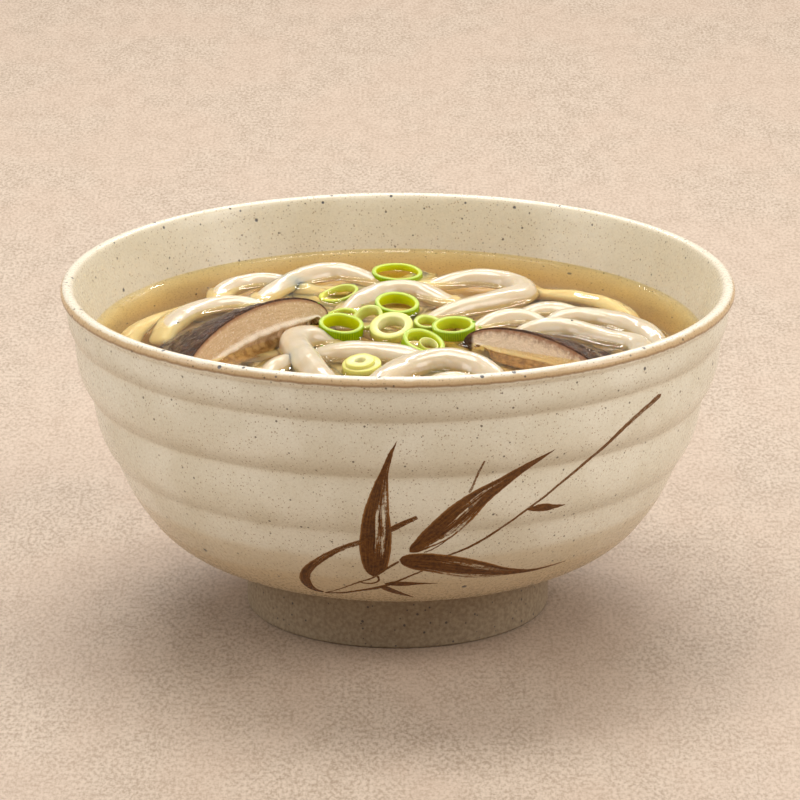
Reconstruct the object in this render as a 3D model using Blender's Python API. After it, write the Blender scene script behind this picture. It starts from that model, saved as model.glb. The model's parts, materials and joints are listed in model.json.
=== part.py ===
"""A stoneware donburi bowl of udon: clear broth, thick noodles, two shiitake halves, spring onion.

Metres, +Z up. The origin is on the floor, at the middle of the bowl's foot, and the painted
side of the bowl faces -Y.
"""

import math

import bmesh
import bpy
from mathutils import Matrix, Vector

# Driving dimensions of the bowl
MM = 0.001
RIM_RADIUS = 82.5 * MM
BOWL_HEIGHT = 82.6 * MM
LIP_RADIUS = 1.7 * MM
FOOT_RADIUS = 37.4 * MM
FOOT_HEIGHT = 13.6 * MM
FOOT_RING_WIDTH = 5.5 * MM
FOOT_EDGE = 1.0 * MM
RECESS_HEIGHT = 9.5 * MM
BOWL_FLOOR = 16.5 * MM
SHOULDER_HEIGHT = 27.0 * MM
SHOULDER_RADIUS = 62.8 * MM
BOWL_SEGMENTS = 48
INNER_CURVE = [(78.9 * MM, 80.8 * MM), (67.0 * MM, 45.0 * MM), (62.0 * MM, BOWL_FLOOR), (0.0, BOWL_FLOOR)]
UNDER_CURVE = [(SHOULDER_RADIUS, SHOULDER_HEIGHT), (57.0 * MM, 18.0 * MM), (47.0 * MM, 15.0 * MM),
               (FOOT_RADIUS + 0.6 * MM, FOOT_HEIGHT)]
RECESS_TAPER = 1.0 * MM
LIP_FIRST_ANGLE = 150
LIP_STEP_ANGLE = 48

# The throwing steps of the outside, top to bottom: height and radius where each one starts
STEPS = [(79.0 * MM, 81.2 * MM), (70.8 * MM, 79.3 * MM), (56.0 * MM, 75.2 * MM),
         (40.5 * MM, 69.9 * MM), (SHOULDER_HEIGHT, SHOULDER_RADIUS)]
STEP_PLACES = (0.0, 0.5, 0.86)
STEP_BULGE = 7
WALL_STEPS = 9

# Driving dimensions of the contents
GAP = 0.3 * MM
SOUP_LEVEL = 68.3 * MM
CORE_TOP = 61.8 * MM
CORE_INSET = 4.0 * MM
CORE_SHOULDER = 2.5 * MM
CORE_BASE_RISE = 0.8 * MM
CORE_BASE_RADIUS = 16.2 * MM
CORE_LEVELS = (4.0 * MM, 12.0 * MM, 24.0 * MM, 36.0 * MM, 42.3 * MM)
CORE_SEGMENTS = 26
STRAND_STEP = 6.0 * MM
FLAT_ANGLE = 3.0

# Each noodle in millimetres: diameter, then places along its middle line as x, y and the height
# above the soup's surface, with both ends sunk into the heap
NOODLES = [
    (6.6, [(-45.5, 27, -5), (-44, 40, -1.7), (-37, 46.5, -1.1), (-28, 45.5, -1.7), (-18, 40, -6)]),
    (7.0, [(-38, 22, -6), (-34, 34, -2.8), (-27, 46, -0.8), (-17, 54, -0.2), (-8, 51, -2.0),
           (2, 42, -6)]),
    (6.8, [(-58, -4, -5), (-57, 6, -3), (-54, 16, -1.7), (-47, 25, -1.3), (-38, 28, -1.8),
           (-27, 24, -6)]),
    (5.6, [(-66, -9, -5), (-65, 5, -3.5), (-60, 16, -3.5), (-49, 33, -6)]),
    (7.4, [(-15, 16, -5), (-10, 28, -1.5), (-4, 36, -0.5), (4, 38, -0.7), (11, 33, -2.3), (19, 25, -6)]),
    (7.4, [(2, 43, -5), (12, 47.5, -2.3), (21, 48.5, -0.8), (29.3, 44, -0.6), (31.3, 35, -0.6),
           (25, 28, -0.5), (15, 21.5, -1.1), (5, 13, -4)]),
    (6.0, [(31, 42, -5), (43, 37, -3.2), (52, 30, -2.8), (57, 18, -3.2), (57, 7, -6)]),
    (6.6, [(26, 14, -5), (35, 21, -1.3), (43, 19, -1.3), (51, 12, -5)]),
    (7.0, [(34, 8, -5), (41, 13.5, -1.0), (50, 13, -0.7), (58, 6, -0.7), (63, -4, -1.4), (62, -15, -5)]),
    (7.0, [(26, 3, -5), (35, 5, -0.8), (43, 4, -0.6), (51, -3, -1.0), (58.5, -9, -0.7), (59, -20, -1.1),
           (56, -34, -5)]),
    (6.6, [(15, 2, -5), (24, 12, -0.9), (32, 14, -0.9), (41, 8, -5)]),
    (7.8, [(-12, -6, -5), (-16.5, -4, -3.2), (-21, -4, -0.2), (-25, -9, 0.4), (-23.5, -19, 0.2),
           (-19.5, -32, -0.6), (-14.5, -46, -2.4), (-8, -53, -5)]),
    (7.4, [(-23, -14, -4), (-14, -17, -0.5), (-4, -18, -0.1), (4, -22, -0.9), (11, -31, -5)]),
    (7.8, [(-9, -48, -4), (-3, -38, -0.8), (3, -29.5, 0.2), (11.5, -25.5, 0.3), (19, -29, -0.2),
           (23.5, -36, -2), (25, -44, -5)]),
    (6.6, [(3, -49, -4), (9, -40, -1.3), (16, -38, -1.3), (24, -46, -5)]),
    (6.4, [(-34, -37, -5), (-30, -28, -1.2), (-26.5, -22.5, -1.2), (-22, -26, -2.4), (-20, -35, -5)]),
    (7.0, [(-50, -33, -5), (-43, -42, -1.4), (-29, -53, -0.8), (-12, -60, -1.8), (3, -61, -5)]),
    (7.0, [(12, -53, -5), (23, -57, -0.9), (36, -51, -0.4), (46, -41, -0.9), (54, -30, -5)]),
    (7.0, [(-15, 13, -5), (-6, 6, -3.2), (2, -2, -3.2), (8, -10, -3.5), (13, -17, -6)]),
]

# Each shiitake half: node, cap radius, dome height, middle of the cut edge, turn about Z, rise of
# the right end, lean of the cut face
SHIITAKE = [
    ("shiitake_left", 26.5 * MM, 9.6 * MM, (-34.2 * MM, -11.0 * MM, 68.7 * MM), 50, 6, 16),
    ("shiitake_right", 21.6 * MM, 7.6 * MM, (34.3 * MM, -18.9 * MM, 66.1 * MM), -32, -9, 14),
]
GILL_DEPTH = 5.0 * MM
CAP_CURL = 3.6 * MM
CAP_STEPS = 9
DOME_POINTS = 5
DOME_POWER = 1.15
# The curled edge, as distances inward from the cap's radius and down from its middle plane
CURLED_EDGE = [(0.6 * MM, 2.2 * MM), (2.4 * MM, CAP_CURL), (4.2 * MM, 2.4 * MM), (5.6 * MM, 1.6 * MM),
               (8.0 * MM, 4.0 * MM)]
GILL_FLAT_SHARE = 0.3

# Each spring onion ring in millimetres: outer diameter, wall, height, x, y, height of its middle
# above the soup, tilt toward -Y and tilt toward +X in degrees
ONION_RINGS = [
    (12.9, 1.3, 2.0, -0.2, 51.6, 0.6, 3, 3),
    (9.8, 1.0, 2.2, -14.6, 33.4, 0.2, 8, -14),
    (10.8, 1.3, 3.0, -0.2, 21.6, 0.9, 13, 3),
    (11.0, 1.3, 3.4, -13.9, 0.0, 1.7, 10, 3),
    (8.4, 1.1, 1.6, -13.6, 15.7, -0.2, 10, -8),
    (8.4, 1.2, 3.0, -7.2, 8.4, 1.2, 26, -18),
    (10.8, 2.5, 3.0, -1.5, -0.2, 1.6, 20, -4),
    (6.6, 1.3, 2.6, 7.2, 6.4, 0.6, 14, 4),
    (10.4, 1.4, 3.2, 13.8, 0.2, 1.3, 8, -3),
    (10.4, 1.4, 3.2, 6.1, -13.5, 1.4, 17, 14),
    (9.6, 3.4, 3.6, -8.5, -30.5, 0.6, 4, 0),
]
RING_SEGMENTS = 10
RING_CROWN = 0.2 * MM


def remove_startup_objects():
    for item in list(bpy.data.objects):
        bpy.data.objects.remove(item, do_unlink=True)


def bezier(p0, p1, p2, p3, count):
    """Points along a cubic curve from p0 to p3, both ends included."""
    points = []
    for i in range(count + 1):
        t = i / count
        s = 1 - t
        weights = (s ** 3, 3 * s * s * t, 3 * s * t * t, t ** 3)
        points.append(tuple(sum(w * p[k] for w, p in zip(weights, (p0, p1, p2, p3)))
                            for k in range(2)))
    return points


def inner_wall(count):
    """The bowl's inside from under the lip to the middle of its floor, as (radius, height)."""
    return bezier(*INNER_CURVE, count)


def inner_radius(height):
    """Radius of the bowl's inside at a height, between the points of a fine inner wall."""
    wall = inner_wall(60)
    for (r0, z0), (r1, z1) in zip(wall, wall[1:]):
        if z1 <= height <= z0:
            return r0 + (r1 - r0) * (z0 - height) / max(z0 - z1, 1e-9)
    return 0.0


def outer_wall():
    """The outside below the lip: four stepped bands that each swell and then tuck in."""
    points = []
    for (z0, r0), (z1, r1) in zip(STEPS, STEPS[1:]):
        for u in STEP_PLACES:
            points.append((r0 - (r0 - r1) * (0.5 * u + 0.5 * u ** STEP_BULGE), z0 + (z1 - z0) * u))
    return points


def bowl_profile():
    """The whole section of the bowl, down the outside, under the foot and back over the lip."""
    underside = bezier(*UNDER_CURVE, 4)
    ring_inside = FOOT_RADIUS - FOOT_RING_WIDTH
    foot = [(FOOT_RADIUS, FOOT_EDGE), (FOOT_RADIUS - FOOT_EDGE, 0.0), (ring_inside + FOOT_EDGE, 0.0),
            (ring_inside, FOOT_EDGE), (ring_inside - RECESS_TAPER, RECESS_HEIGHT), (0.0, RECESS_HEIGHT)]
    lip = []
    for i in range(5):
        angle = math.radians(LIP_FIRST_ANGLE - LIP_STEP_ANGLE * i)
        lip.append((RIM_RADIUS - LIP_RADIUS + LIP_RADIUS * math.cos(angle),
                    BOWL_HEIGHT - LIP_RADIUS + LIP_RADIUS * math.sin(angle)))
    inside = list(reversed(inner_wall(WALL_STEPS)))
    return inside + lip + outer_wall() + underside + foot


def turned(profile, segments, name):
    """A closed body of revolution about Z from a profile whose two ends lie on the axis."""
    mesh = bmesh.new()
    verts = [mesh.verts.new((r, 0.0, z)) for r, z in profile]
    edges = [mesh.edges.new(pair) for pair in zip(verts, verts[1:])]
    bmesh.ops.spin(mesh, geom=verts + edges, axis=(0, 0, 1), cent=(0, 0, 0),
                   angle=math.tau, steps=segments, use_duplicate=False)
    return finished(mesh, name)


def finished(mesh, name):
    """An object from a bmesh, with doubled points merged and all faces pointing out."""
    bmesh.ops.remove_doubles(mesh, verts=mesh.verts, dist=1e-6)
    bmesh.ops.dissolve_degenerate(mesh, dist=1e-6, edges=mesh.edges)
    bmesh.ops.recalc_face_normals(mesh, faces=mesh.faces)
    data = bpy.data.meshes.new(name)
    mesh.to_mesh(data)
    mesh.free()
    item = bpy.data.objects.new(name, data)
    bpy.context.collection.objects.link(item)
    return item


def smooth_route(points, step):
    """Even points along a Catmull-Rom curve through the given ones."""
    ends = [points[0] * 2 - points[1]] + points + [points[-1] * 2 - points[-2]]
    fine = []
    for a, b, c, d in zip(ends, ends[1:], ends[2:], ends[3:]):
        for i in range(12):
            t = i / 12
            fine.append(0.5 * (2 * b + (c - a) * t + (2 * a - 5 * b + 4 * c - d) * t * t
                               + (3 * b - a - 3 * c + d) * t ** 3))
    fine.append(points[-1])
    length = sum((q - p).length for p, q in zip(fine, fine[1:]))
    count = max(4, round(length / step))
    route = [fine[0]]
    walked = 0.0
    for p, q in zip(fine, fine[1:]):
        walked += (q - p).length
        if walked >= len(route) * length / count and len(route) < count:
            route.append(q)
    route.append(fine[-1])
    return route


def strand(name, diameter, places, grow=0.0):
    """One noodle as an eight-sided tube, or a six-sided one grown on all sides as a cutter."""
    points = [Vector((x * MM, y * MM, SOUP_LEVEL + z * MM)) for x, y, z in places]
    route = smooth_route(points, STRAND_STEP)
    route[0] -= (route[1] - route[0]).normalized() * grow
    route[-1] += (route[-1] - route[-2]).normalized() * grow
    curve = bpy.data.curves.new(name, "CURVE")
    curve.dimensions = "3D"
    curve.bevel_depth = diameter * MM / 2
    curve.bevel_resolution = 2
    if grow:
        curve.bevel_depth = (diameter * MM / 2 + grow) / math.cos(math.pi / 6)
        curve.bevel_resolution = 1
    curve.use_fill_caps = True
    spline = curve.splines.new("POLY")
    spline.points.add(len(route) - 1)
    for point, place in zip(spline.points, route):
        point.co = (*place, 1.0)
    guide = bpy.data.objects.new(name, curve)
    bpy.context.collection.objects.link(guide)
    mesh = bmesh.new()
    mesh.from_mesh(bpy.data.meshes.new_from_object(guide))
    bpy.data.objects.remove(guide)
    return finished(mesh, name)


def noodle_core(name, grow=0.0):
    """The hidden middle of the heap, an uneven lump that stays clear of the wall and the floor."""
    base = BOWL_FLOOR + GAP - grow
    profile = [(0.0, base), (CORE_BASE_RADIUS + grow, base + CORE_BASE_RISE)]
    for level in CORE_LEVELS:
        profile.append((inner_radius(BOWL_FLOOR + level) - CORE_INSET + grow, BOWL_FLOOR + level))
    profile += [(profile[-1][0] - CORE_SHOULDER, CORE_TOP + grow), (0.0, CORE_TOP + grow)]
    return turned(profile, CORE_SEGMENTS, name)


def combine(target, pieces, operation):
    """Fuse the pieces with the target, or cut them out of it, in one Boolean; they are used up."""
    group = bpy.data.collections.new("pieces")
    bpy.context.scene.collection.children.link(group)
    for piece in pieces:
        bpy.context.collection.objects.unlink(piece)
        group.objects.link(piece)
    boolean = target.modifiers.new("combine", "BOOLEAN")
    boolean.operation = operation
    boolean.solver = "EXACT"
    boolean.operand_type = "COLLECTION"
    boolean.collection = group
    apply_modifiers(target)
    for piece in pieces:
        bpy.data.objects.remove(piece)
    bpy.data.collections.remove(group)


def apply_modifiers(item):
    bpy.context.view_layer.update()
    evaluated = item.evaluated_get(bpy.context.evaluated_depsgraph_get())
    data = bpy.data.meshes.new_from_object(evaluated)
    item.modifiers.clear()
    item.data = data


def keep_largest(item):
    """Drop the loose scraps and sealed hollows that cutting leaves beside the main body."""
    mesh = bmesh.new()
    mesh.from_mesh(item.data)
    bmesh.ops.remove_doubles(mesh, verts=mesh.verts, dist=2e-6)
    bmesh.ops.dissolve_limit(mesh, angle_limit=math.radians(FLAT_ANGLE), verts=mesh.verts,
                             edges=mesh.edges)
    bmesh.ops.triangulate(mesh, faces=mesh.faces)
    left = set(mesh.verts)
    bodies = []
    while left:
        start = left.pop()
        body = {start}
        border = [start]
        while border:
            for edge in border.pop().link_edges:
                for vert in edge.verts:
                    if vert in left:
                        left.remove(vert)
                        body.add(vert)
                        border.append(vert)
        bodies.append(body)
    bodies.sort(key=len, reverse=True)
    scraps = [vert for body in bodies[1:] for vert in body]
    bmesh.ops.delete(mesh, geom=scraps, context="VERTS")
    mesh.to_mesh(item.data)
    mesh.free()


def cap_profile(radius, dome, grow):
    """Section of a shiitake cap from the top of its dome round the curled edge to the gills."""
    points = []
    for i in range(DOME_POINTS + 1):
        angle = math.radians(90 - 90 * i / DOME_POINTS)
        points.append(((radius + grow) * math.cos(angle), (dome + grow) * math.sin(angle) ** DOME_POWER))
    for inward, down in CURLED_EDGE:
        points.append((radius - inward + (grow if inward < down else 0.0), -down - grow))
    points += [(radius * GILL_FLAT_SHARE, -GILL_DEPTH - grow), (0.0, -GILL_DEPTH - grow)]
    return points


def shiitake_half(name, radius, dome, place, turn, rise, lean, grow=0.0):
    """Half a cap: its section turned through 180 degrees, closed by the flat cut face."""
    mesh = bmesh.new()
    verts = [mesh.verts.new((r, 0.0, z)) for r, z in cap_profile(radius, dome, grow)]
    edges = [mesh.edges.new(pair) for pair in zip(verts, verts[1:])]
    bmesh.ops.spin(mesh, geom=verts + edges, axis=(0, 0, 1), cent=(0, 0, 0),
                   angle=math.pi, steps=CAP_STEPS, use_duplicate=False)
    bmesh.ops.remove_doubles(mesh, verts=mesh.verts, dist=1e-6)
    bmesh.ops.dissolve_degenerate(mesh, dist=1e-6, edges=mesh.edges)
    bmesh.ops.holes_fill(mesh, edges=[e for e in mesh.edges if e.is_boundary])
    for vert in mesh.verts:
        vert.co.y -= grow if abs(vert.co.y) < 1e-6 else 0.0
    bmesh.ops.triangulate(mesh, faces=mesh.faces)
    stand = (Matrix.Translation(place) @ Matrix.Rotation(math.radians(turn), 4, "Z")
             @ Matrix.Rotation(math.radians(-rise), 4, "Y") @ Matrix.Rotation(math.radians(-lean), 4, "X"))
    bmesh.ops.transform(mesh, matrix=stand, verts=mesh.verts)
    return finished(mesh, name)


def onion_ring(name, size, grow=0.0, solid=False):
    """A short tube of spring onion lying at a tilt, or its full outer form as a cutter."""
    diameter, wall, height, x, y, z, forward, sideways = size
    outer = diameter * MM / 2 + grow
    inner = 0.0 if solid else outer - wall * MM
    half = height * MM / 2 + grow
    mesh = bmesh.new()
    corners = [(inner, -half), (outer - RING_CROWN, -half), (outer, 0.0), (outer - RING_CROWN, half),
               (inner, half)]
    verts = [mesh.verts.new((r, 0.0, h)) for r, h in corners]
    loop = zip(verts, verts[1:]) if solid else zip(verts, verts[1:] + verts[:1])
    edges = [mesh.edges.new(pair) for pair in loop]
    bmesh.ops.spin(mesh, geom=verts + edges, axis=(0, 0, 1), cent=(0, 0, 0),
                   angle=math.tau, steps=RING_SEGMENTS, use_duplicate=False)
    stand = (Matrix.Translation((x * MM, y * MM, SOUP_LEVEL + z * MM))
             @ Matrix.Rotation(math.radians(forward), 4, "X")
             @ Matrix.Rotation(math.radians(sideways), 4, "Y"))
    bmesh.ops.transform(mesh, matrix=stand, verts=mesh.verts)
    return finished(mesh, name)


def make_bowl():
    return turned(bowl_profile(), BOWL_SEGMENTS, "bowl")


def heap_pieces(grow=0.0):
    """The core of the noodle heap and every noodle on it."""
    strands = [strand(f"strand_{i}", size, places, grow) for i, (size, places) in enumerate(NOODLES)]
    return [noodle_core("core", grow)] + strands


def topping_cutters():
    """The toppings grown by the gap, the rings as full discs."""
    halves = [shiitake_half("cutter", *item[1:], grow=GAP) for item in SHIITAKE]
    return halves + [onion_ring("cutter", size, grow=GAP, solid=True) for size in ONION_RINGS]


def make_noodles():
    """The heap: the noodles that show fused to its core, clear of the toppings."""
    heap, *strands = heap_pieces()
    combine(heap, strands, "UNION")
    combine(heap, topping_cutters(), "DIFFERENCE")
    keep_largest(heap)
    heap.name = "noodles"
    return heap


def make_broth():
    """The soup from the floor to its level, cut round the noodles and the toppings."""
    below = [(max(r - GAP, 0.0), z + GAP) for r, z in inner_wall(WALL_STEPS)
             if z + GAP < SOUP_LEVEL - 1.0 * MM]
    edge = (inner_radius(SOUP_LEVEL) - GAP, SOUP_LEVEL)
    soup = turned([(0.0, SOUP_LEVEL), edge] + below, BOWL_SEGMENTS, "broth")
    combine(soup, heap_pieces(grow=GAP) + topping_cutters(), "DIFFERENCE")
    keep_largest(soup)
    return soup


def material(name, color, roughness):
    finish = bpy.data.materials.new(name)
    finish.use_nodes = True
    shader = finish.node_tree.nodes["Principled BSDF"]
    shader.inputs["Base Color"].default_value = (*color, 1.0)
    shader.inputs["Roughness"].default_value = roughness
    return finish


def dress(item, finish):
    item.data.materials.clear()
    item.data.materials.append(finish)
    item.data.shade_smooth()
    item.data.set_sharp_from_angle(angle=math.radians(35))


def main():
    remove_startup_objects()
    dress(make_bowl(), material("speckled_glaze", (0.56, 0.47, 0.34), 0.3))
    dress(make_noodles(), material("udon", (0.84, 0.72, 0.52), 0.35))
    dress(make_broth(), material("clear_broth", (0.62, 0.38, 0.12), 0.1))
    skin = material("shiitake", (0.25, 0.13, 0.07), 0.5)
    for item in SHIITAKE:
        dress(shiitake_half(*item), skin)
    green = material("spring_onion", (0.27, 0.42, 0.03), 0.4)
    for number, size in enumerate(ONION_RINGS, start=1):
        dress(onion_ring(f"spring_onion_{number:02d}", size), green)


main()
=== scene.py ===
import json
import math
import random

import bmesh
import bpy
from mathutils import Matrix, Vector, noise
from mathutils.bvhtree import BVHTree

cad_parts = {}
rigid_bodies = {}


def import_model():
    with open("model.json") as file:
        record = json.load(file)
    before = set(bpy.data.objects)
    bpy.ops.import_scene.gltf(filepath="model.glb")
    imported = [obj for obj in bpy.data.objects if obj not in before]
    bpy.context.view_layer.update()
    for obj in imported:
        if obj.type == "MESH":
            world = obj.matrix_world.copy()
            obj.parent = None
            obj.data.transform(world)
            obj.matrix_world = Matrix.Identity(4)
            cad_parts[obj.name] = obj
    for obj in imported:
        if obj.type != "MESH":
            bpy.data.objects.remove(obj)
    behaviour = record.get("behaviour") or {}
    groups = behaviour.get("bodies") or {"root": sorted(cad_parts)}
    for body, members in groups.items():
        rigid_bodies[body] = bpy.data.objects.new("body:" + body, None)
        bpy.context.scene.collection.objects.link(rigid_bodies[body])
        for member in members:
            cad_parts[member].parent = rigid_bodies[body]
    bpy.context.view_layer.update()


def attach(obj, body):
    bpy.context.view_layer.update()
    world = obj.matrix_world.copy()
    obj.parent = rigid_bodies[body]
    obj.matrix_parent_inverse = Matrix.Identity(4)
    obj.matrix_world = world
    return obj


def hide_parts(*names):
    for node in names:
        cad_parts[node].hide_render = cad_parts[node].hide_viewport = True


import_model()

# The camera looks down on the painted side of the bowl from a good metre away through a long lens,
# as in the photograph.
CAMERA_PLACE = (0.000575, -1.25465, 0.44531)
CAMERA_PITCH = 17.419
scene = bpy.context.scene
camera = bpy.data.cameras.new("camera")
camera.lens = 240
camera.sensor_width = 36
camera.clip_start = 0.05
camera_object = bpy.data.objects.new("camera", camera)
camera_object.location = CAMERA_PLACE
camera_object.rotation_euler = (math.radians(90 - CAMERA_PITCH), 0, 0)
scene.collection.objects.link(camera_object)
scene.camera = camera_object
scene.view_settings.view_transform = "Standard"

# The studio: a wide soft box overhead, a long strip behind the bowl that draws the highlights on wet
# noodles, a soft box at each side, and a pale surround.
BOWL_MIDDLE = (0, 0, 0.06)
SOFT_BOXES = [
    ("overhead", (-0.05, 0.36, 1.25), (1.0, 0.4), 11.3, (1.0, 0.98, 0.95)),
    ("back_strip", (0.1, 1.1, 1.0), (1.3, 0.06), 8.0, (1.0, 0.98, 0.96)),
    ("right", (1.15, -0.3, 0.8), (0.6, 0.8), 8.2, (1.0, 0.97, 0.94)),
    ("left", (-1.15, -0.3, 0.75), (0.6, 0.8), 5.4, (1.0, 0.98, 0.96)),
    ("front", (0.1, -1.05, 1.25), (1.2, 0.6), 4.2, (1.0, 0.97, 0.94)),
]
SURROUND = (1.0, 0.975, 0.95, 1)
SURROUND_STRENGTH = 0.31
for name, place, size, power, color in SOFT_BOXES:
    lamp = bpy.data.lights.new(name, "AREA")
    lamp.shape = "RECTANGLE"
    lamp.size, lamp.size_y = size
    lamp.energy = power
    lamp.color = color
    soft_box = bpy.data.objects.new(name, lamp)
    soft_box.location = place
    soft_box.rotation_euler = (Vector(BOWL_MIDDLE) - Vector(place)).to_track_quat("-Z", "Y").to_euler()
    soft_box.visible_transmission = False
    scene.collection.objects.link(soft_box)
world = bpy.data.worlds.new("surround")
world.use_nodes = True
world.node_tree.nodes["Background"].inputs["Color"].default_value = SURROUND
world.node_tree.nodes["Background"].inputs["Strength"].default_value = SURROUND_STRENGTH
scene.world = world


# The floor: a plain pale stone-coloured sheet that the foot ring stands on. Its finish is the first,
# so the shader maths for every finish is here too.
class Socket:
    """An output socket of a finish, on which arithmetic adds Math nodes."""

    def __init__(self, finish, link):
        self.finish = finish
        self.link = link

    def maths(self, operation, *others):
        """A Math node on this socket and other sockets or numbers."""
        return self.finish.node("ShaderNodeMath", {"operation": operation}, self, *others)

    def __add__(self, other):
        return self.maths("ADD", other)

    def __mul__(self, other):
        return self.maths("MULTIPLY", other)

    def __sub__(self, other):
        return self.maths("SUBTRACT", other)

    def __rsub__(self, other):
        return self.finish.node("ShaderNodeMath", {"operation": "SUBTRACT"}, other, self)

    __radd__ = __add__
    __rmul__ = __mul__

    def rise(self, low, high):
        """0 below low, 1 above high, and a soft step between them."""
        return self.finish.node("ShaderNodeMapRange", {"interpolation_type": "SMOOTHSTEP"},
                                self, low, high, 0.0, 1.0)

    def fall(self, low, high):
        """1 below low, 0 above high, and a soft step between them."""
        return 1 - self.rise(low, high)


class Finish:
    """A material: constants on its shader's own sockets, and nodes for what varies."""

    def __init__(self, name, **constants):
        self.material = bpy.data.materials.new(name)
        self.material.use_nodes = True
        self.tree = self.material.node_tree
        self.shader = self.tree.nodes["Principled BSDF"]
        for socket, value in constants.items():
            self.shader.inputs[socket.replace("_", " ")].default_value = value
        self.place = self.node("ShaderNodeTexCoord", output="Object")

    def node(self, kind, settings=None, *values, output=0, **named):
        """A node with its settings first, then the values or links of its sockets."""
        node = self.tree.nodes.new(kind)
        for key, value in (settings or {}).items():
            setattr(node, key, value)
        for key, value in list(enumerate(values)) + list(named.items()):
            self.feed(node.inputs[key], value)
        return Socket(self, node.outputs[output])

    def feed(self, socket, value):
        """Link a socket to a node, or set it to a constant."""
        if isinstance(value, Socket):
            self.tree.links.new(value.link, socket)
        else:
            socket.default_value = value

    def paint(self, socket, value):
        """Feed one of the shader's own sockets."""
        self.feed(self.shader.inputs[socket], value)

    def mix(self, factor, first, second):
        """Blend two colours by a factor."""
        node = self.tree.nodes.new("ShaderNodeMix")
        node.data_type = "RGBA"
        for index, value in ((0, factor), (6, first), (7, second)):
            self.feed(node.inputs[index], value)
        return Socket(self, node.outputs[2])

    def axis(self, letter, vector=None):
        """One component of a vector, or else of the place on the piece."""
        return self.node("ShaderNodeSeparateXYZ", None, vector or self.place, output=letter)

    def attribute(self, name, output="Color"):
        """What the piece's own mesh says under a name."""
        return self.node("ShaderNodeAttribute", {"attribute_name": name}, output=output)

    def channels(self, color):
        """The red, green and blue of a colour."""
        return [self.node("ShaderNodeSeparateColor", None, color, output=k) for k in range(3)]

    def clouds(self, size, detail=2.0, roughness=0.5, place=None, stretch=(1, 1, 1)):
        """Soft noise whose lumps are about as wide as size."""
        spot = self.node("ShaderNodeMapping", None, place or self.place, Scale=stretch)
        return self.node("ShaderNodeTexNoise", None, Vector=spot, Scale=1 / size, Detail=detail,
                         Roughness=roughness)

    def dots(self, spacing, radius, share):
        """1 inside small round dots: the spacing of their cells, their radius, the share of cells used."""
        cell = self.tree.nodes.new("ShaderNodeTexVoronoi")
        self.feed(cell.inputs["Vector"], self.place)
        cell.inputs["Scale"].default_value = 1 / spacing
        size, used, _ = self.channels(Socket(self, cell.outputs["Color"]))
        reach = size * (0.5 * radius / spacing) + 0.5 * radius / spacing
        distance = Socket(self, cell.outputs["Distance"])
        return (reach - distance).rise(0.0, 0.3 * radius / spacing) * used.maths("LESS_THAN", share)

    def bump(self, height, distance):
        """Relief of a height that runs from 0 to 1, as deep as distance in metres."""
        self.paint("Normal", self.node("ShaderNodeBump", None, Distance=distance, Height=height))


MM = 0.001
FLOOR_SIZE = 6.0
FLOOR_PALE = (0.58, 0.47, 0.37, 1)
FLOOR_TAN = (0.35, 0.26, 0.185, 1)
FLOOR_ROSE = (0.55, 0.41, 0.31, 1)
FLOOR_FLECK = (0.17, 0.115, 0.075, 1)
floor_finish = Finish("pale_floor", Roughness=0.6)
grain = floor_finish.clouds(0.0009, detail=3, roughness=0.7, stretch=(1, 0.45, 1)) * 0.8
grain = grain + floor_finish.clouds(0.006, detail=4, roughness=0.6, stretch=(1, 0.4, 1)) * 0.2
stone = floor_finish.mix(grain.rise(0.34, 0.62), FLOOR_TAN, FLOOR_PALE)
rosy = floor_finish.clouds(0.035, detail=3, stretch=(1, 0.5, 1)).rise(0.4, 0.6)
stone = floor_finish.mix(rosy * 0.3, stone, FLOOR_ROSE)
flecks = floor_finish.dots(3.2 * MM, 0.5 * MM, 0.6)
floor_finish.paint("Base Color", floor_finish.mix(flecks * 0.4, stone, FLOOR_FLECK))
floor_mesh = bmesh.new()
bmesh.ops.create_grid(floor_mesh, x_segments=1, y_segments=1, size=FLOOR_SIZE / 2)
floor_data = bpy.data.meshes.new("floor")
floor_mesh.to_mesh(floor_data)
floor_mesh.free()
floor_data.materials.append(floor_finish.material)
floor = bpy.data.objects.new("floor", floor_data)
scene.collection.objects.link(floor)

# The bowl: one piece of thrown stoneware with soft steps down its outside, dipped in a cream glaze
# full of iron specks. The glaze stops at the foot, which is bare clay, and breaks brown at the lip.
RIM_RADIUS = 82.5 * MM
BOWL_HEIGHT = 82.6 * MM
LIP_RADIUS = 1.7 * MM
LIP_DROP = 79.0 * MM
FOOT_RADIUS = 37.4 * MM
FOOT_HEIGHT = 13.6 * MM
FOOT_RING_WIDTH = 5.5 * MM
FOOT_EDGE = 0.9 * MM
RECESS_HEIGHT = 9.5 * MM
BOWL_FLOOR = 16.5 * MM
SHOULDER = (62.8 * MM, 27.0 * MM)
BELLY_PULLS = ((57.0 * MM, 18.0 * MM), (47.0 * MM, 15.0 * MM))
GLAZE_OVERHANG = 0.6 * MM
INSIDE_PULLS = ((67.0 * MM, 45.0 * MM), (62.0 * MM, BOWL_FLOOR))
# The rounding of the lip, from the inside over the top: how many points, first angle, turn between two
LIP_POINTS = 17
LIP_START = 165
LIP_TURN = 13
# Radius and height where each thrown step starts, and how much of it is tucked in at its lower end
STEPS = [(81.2 * MM, LIP_DROP, 0.95), (79.3 * MM, 70.8 * MM, 0.85), (75.2 * MM, 56.0 * MM, 0.6),
         (69.9 * MM, 40.5 * MM, 0.2), (*SHOULDER, 0.0)]
TUCK_POWER = 3.4
STEP_CELLS = 24
SOFTENING = 2
INSIDE_CELLS = 64
BOWL_SEGMENTS = 192


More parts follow.
